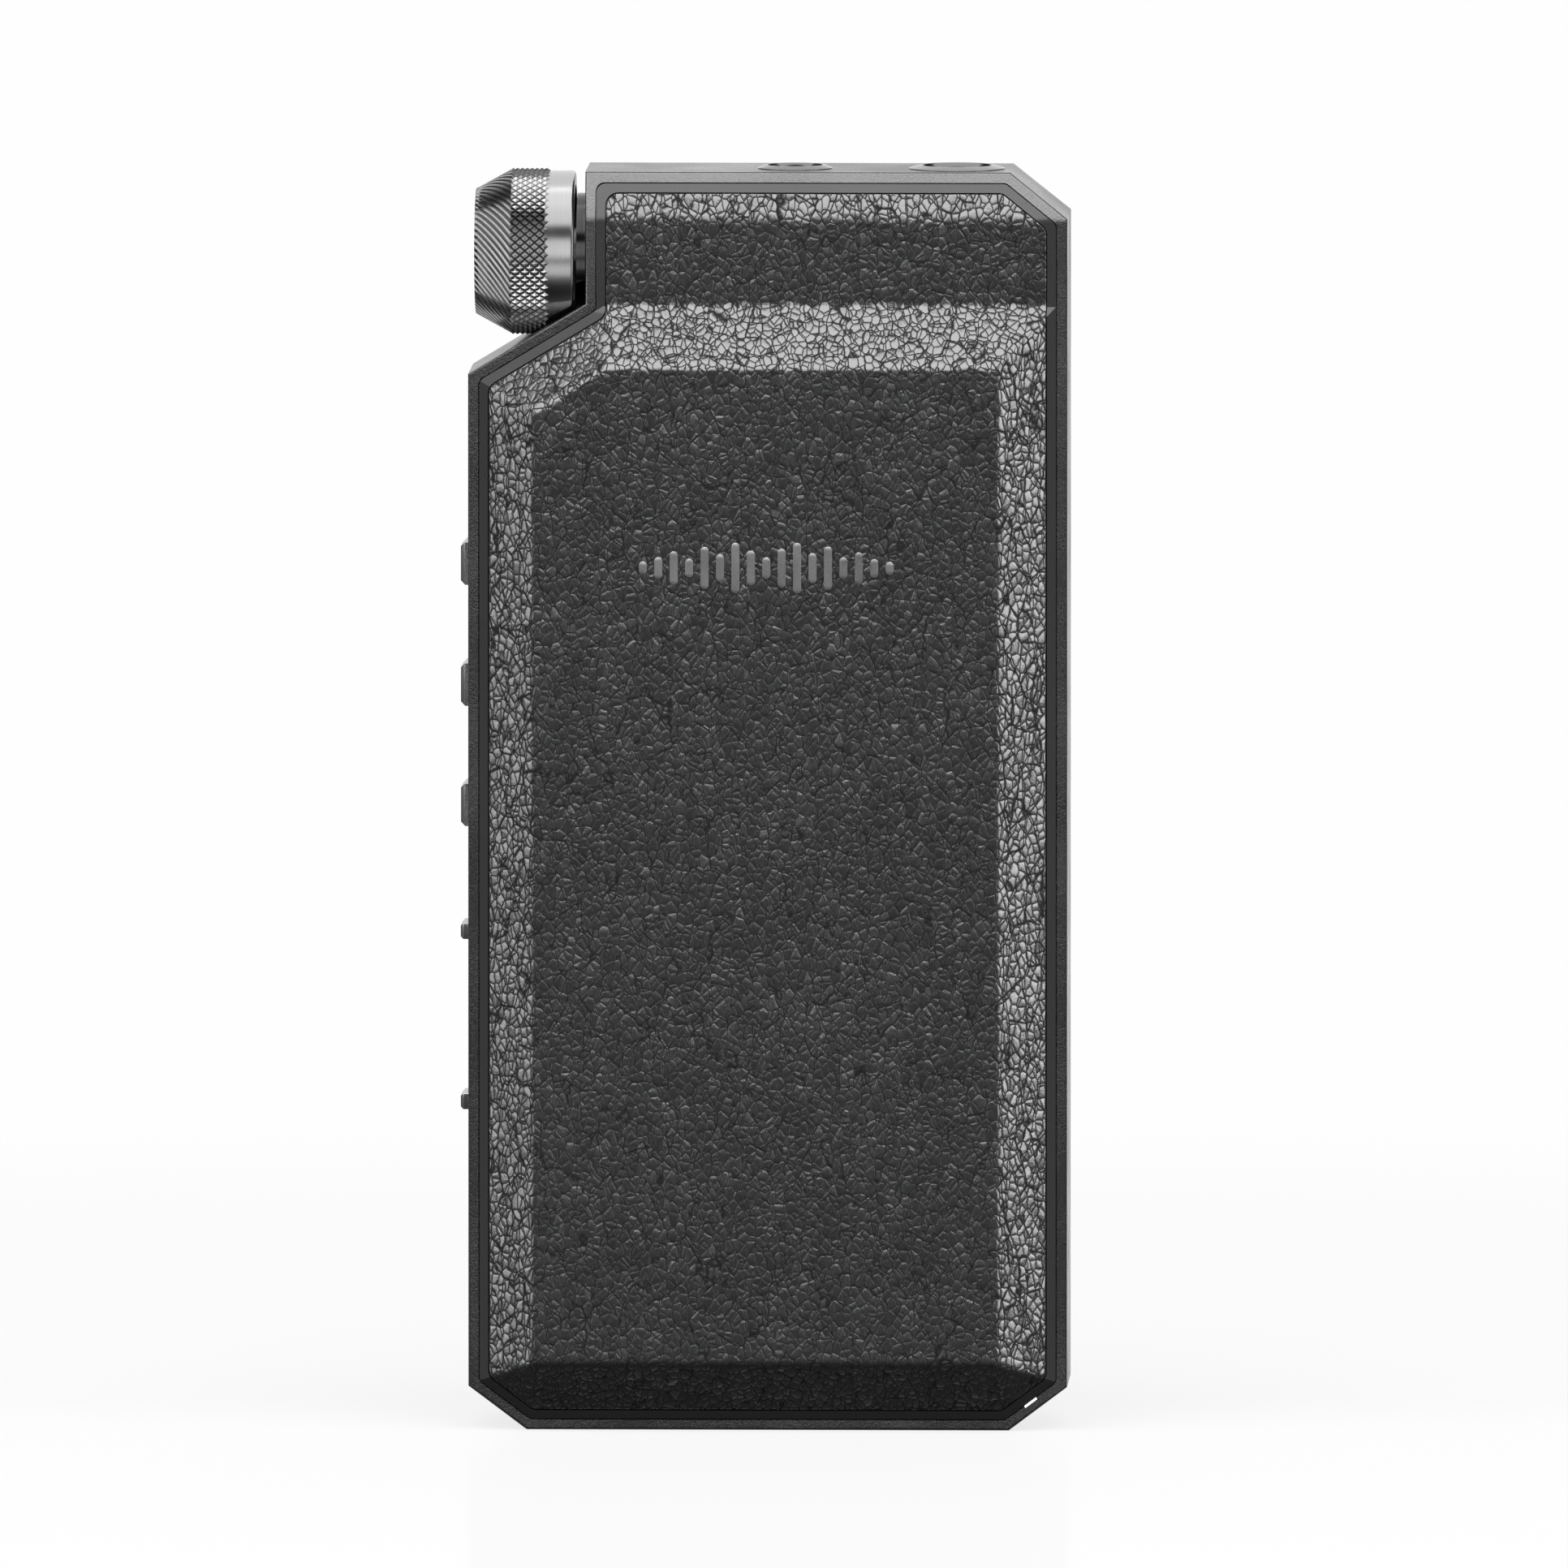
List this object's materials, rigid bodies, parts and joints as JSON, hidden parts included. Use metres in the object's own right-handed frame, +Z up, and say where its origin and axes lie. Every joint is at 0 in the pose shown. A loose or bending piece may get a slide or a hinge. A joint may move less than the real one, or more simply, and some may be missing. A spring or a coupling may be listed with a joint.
{
  "type": "portable digital audio player",
  "caption": "Pocket digital audio player with a leather-backed metal body, a knurled volume knob in a corner bay, side buttons and two headphone sockets in the top face.",
  "frame": {"origin": "in the bottom face, midway across its width and straight below the knob and socket axes", "axes": "+Z up as the player stands on its lower edge, +Y towards the glass front, the leather back faces -Y, and the knob is on the -X side"},
  "size_m": [0.0418, 0.0157, 0.0869],
  "materials": {
    "blasted_aluminium": "fine bead-blasted, dark grey anodised",
    "satin_rim": "smooth satin, dark grey anodised",
    "leather": "black pebbled grain, low sheen",
    "bright_metal": "polished bright inlay",
    "light_guide": "clear white light guide",
    "black_glass": "opaque black printed cover glass, polished",
    "tape": "black adhesive tape",
    "foam": "black foam",
    "display": "dark display module",
    "flex": "amber polyimide flex",
    "bare_aluminium": "bare stamped aluminium",
    "steel": "nickel-plated steel",
    "circuit_board": "dark solder mask on glass-fibre board",
    "chip": "black moulded package",
    "capacitor": "moulded tantalum capacitor",
    "tin_plate": "tin-plated sheet steel",
    "battery_foil": "aluminium-laminate pouch",
    "black_plastic": "black moulded plastic",
    "white_plastic": "white moulded plastic",
    "knob_dark": "dark anodised, polished ribs",
    "knob_bright": "bright knurled metal",
    "knob_polished": "polished metal",
    "bushing_satin": "satin metal",
    "brass": "plain brass",
    "socket_ring": "dark polished metal",
    "gold_contact": "gold-plated spring contact",
    "button_metal": "gunmetal satin anodised"
  },
  "bodies": {
    "root": {"amp_chips": "chip", "audio_shield": "tin_plate", "back_cover": "satin_rim", "battery": "battery_foil", "battery_connector": "black_plastic", "battery_flex": "flex", "battery_tape": "tape", "bezel_tape": "tape", "board_screws": "steel", "body_frame": "blasted_aluminium", "capacitors": "capacitor", "chassis_plate": "bare_aluminium", "cover_tape": "tape", "dac_chips": "chip", "display_flex": "flex", "display_foam": "foam", "display_module": "display", "emblem": "bright_metal", "encoder_body": "black_plastic", "encoder_nut": "brass", "front_bezel": "satin_rim", "front_glass": "black_glass", "jack_3_5_body": "black_plastic", "jack_3_5_contacts": "gold_contact", "jack_3_5_ring": "socket_ring", "jack_4_4_body": "black_plastic", "jack_4_4_contacts": "gold_contact", "jack_4_4_ring": "socket_ring", "knob_bushing": "bushing_satin", "leather_panel": "leather", "main_board": "circuit_board", "plate_screws": "steel", "power_chip": "chip", "processor_chip": "chip", "radio_shield": "tin_plate", "side_board": "circuit_board", "side_flex": "flex", "slide_switches": "tin_plate", "status_light_pipe": "light_guide", "tact_switches": "black_plastic", "usb_data_shell": "steel", "usb_data_tongue": "black_plastic", "usb_power_shell": "steel", "usb_power_tongue": "black_plastic"},
    "knob": {"knob_cap": "knob_dark", "knob_grip": "knob_bright", "knob_collar": "knob_polished", "knob_shaft": "bare_aluminium"},
    "button_1_body": {"button_1": "button_metal", "plunger_1": "white_plastic"},
    "button_2_body": {"button_2": "button_metal", "plunger_2": "white_plastic"},
    "button_3_body": {"button_3": "button_metal", "plunger_3": "white_plastic"},
    "slider_1_body": {"slider_1": "button_metal"},
    "slider_2_body": {"slider_2": "button_metal"}
  },
  "joints": [
    {"name": "knob_turn", "type": "hinge", "parent": "root", "child": "knob", "pos_m": [-0.0166, 0, 0.08095], "axis": [1, 0, 0], "continuous": true},
    {"name": "button_1_press", "type": "slide", "parent": "root", "child": "button_1_body", "axis": [1, 0, 0], "range_m": [0, 0.00025], "stiffness_N_per_m": 300, "springref_m": -0.002},
    {"name": "button_2_press", "type": "slide", "parent": "root", "child": "button_2_body", "axis": [1, 0, 0], "range_m": [0, 0.00025], "stiffness_N_per_m": 300, "springref_m": -0.002},
    {"name": "button_3_press", "type": "slide", "parent": "root", "child": "button_3_body", "axis": [1, 0, 0], "range_m": [0, 0.00025], "stiffness_N_per_m": 300, "springref_m": -0.002},
    {"name": "slider_1_slide", "type": "slide", "parent": "root", "child": "slider_1_body", "axis": [0, 0, 1], "range_m": [-0.0015, 0]},
    {"name": "slider_2_slide", "type": "slide", "parent": "root", "child": "slider_2_body", "axis": [0, 0, 1], "range_m": [-0.0015, 0]}
  ]
}
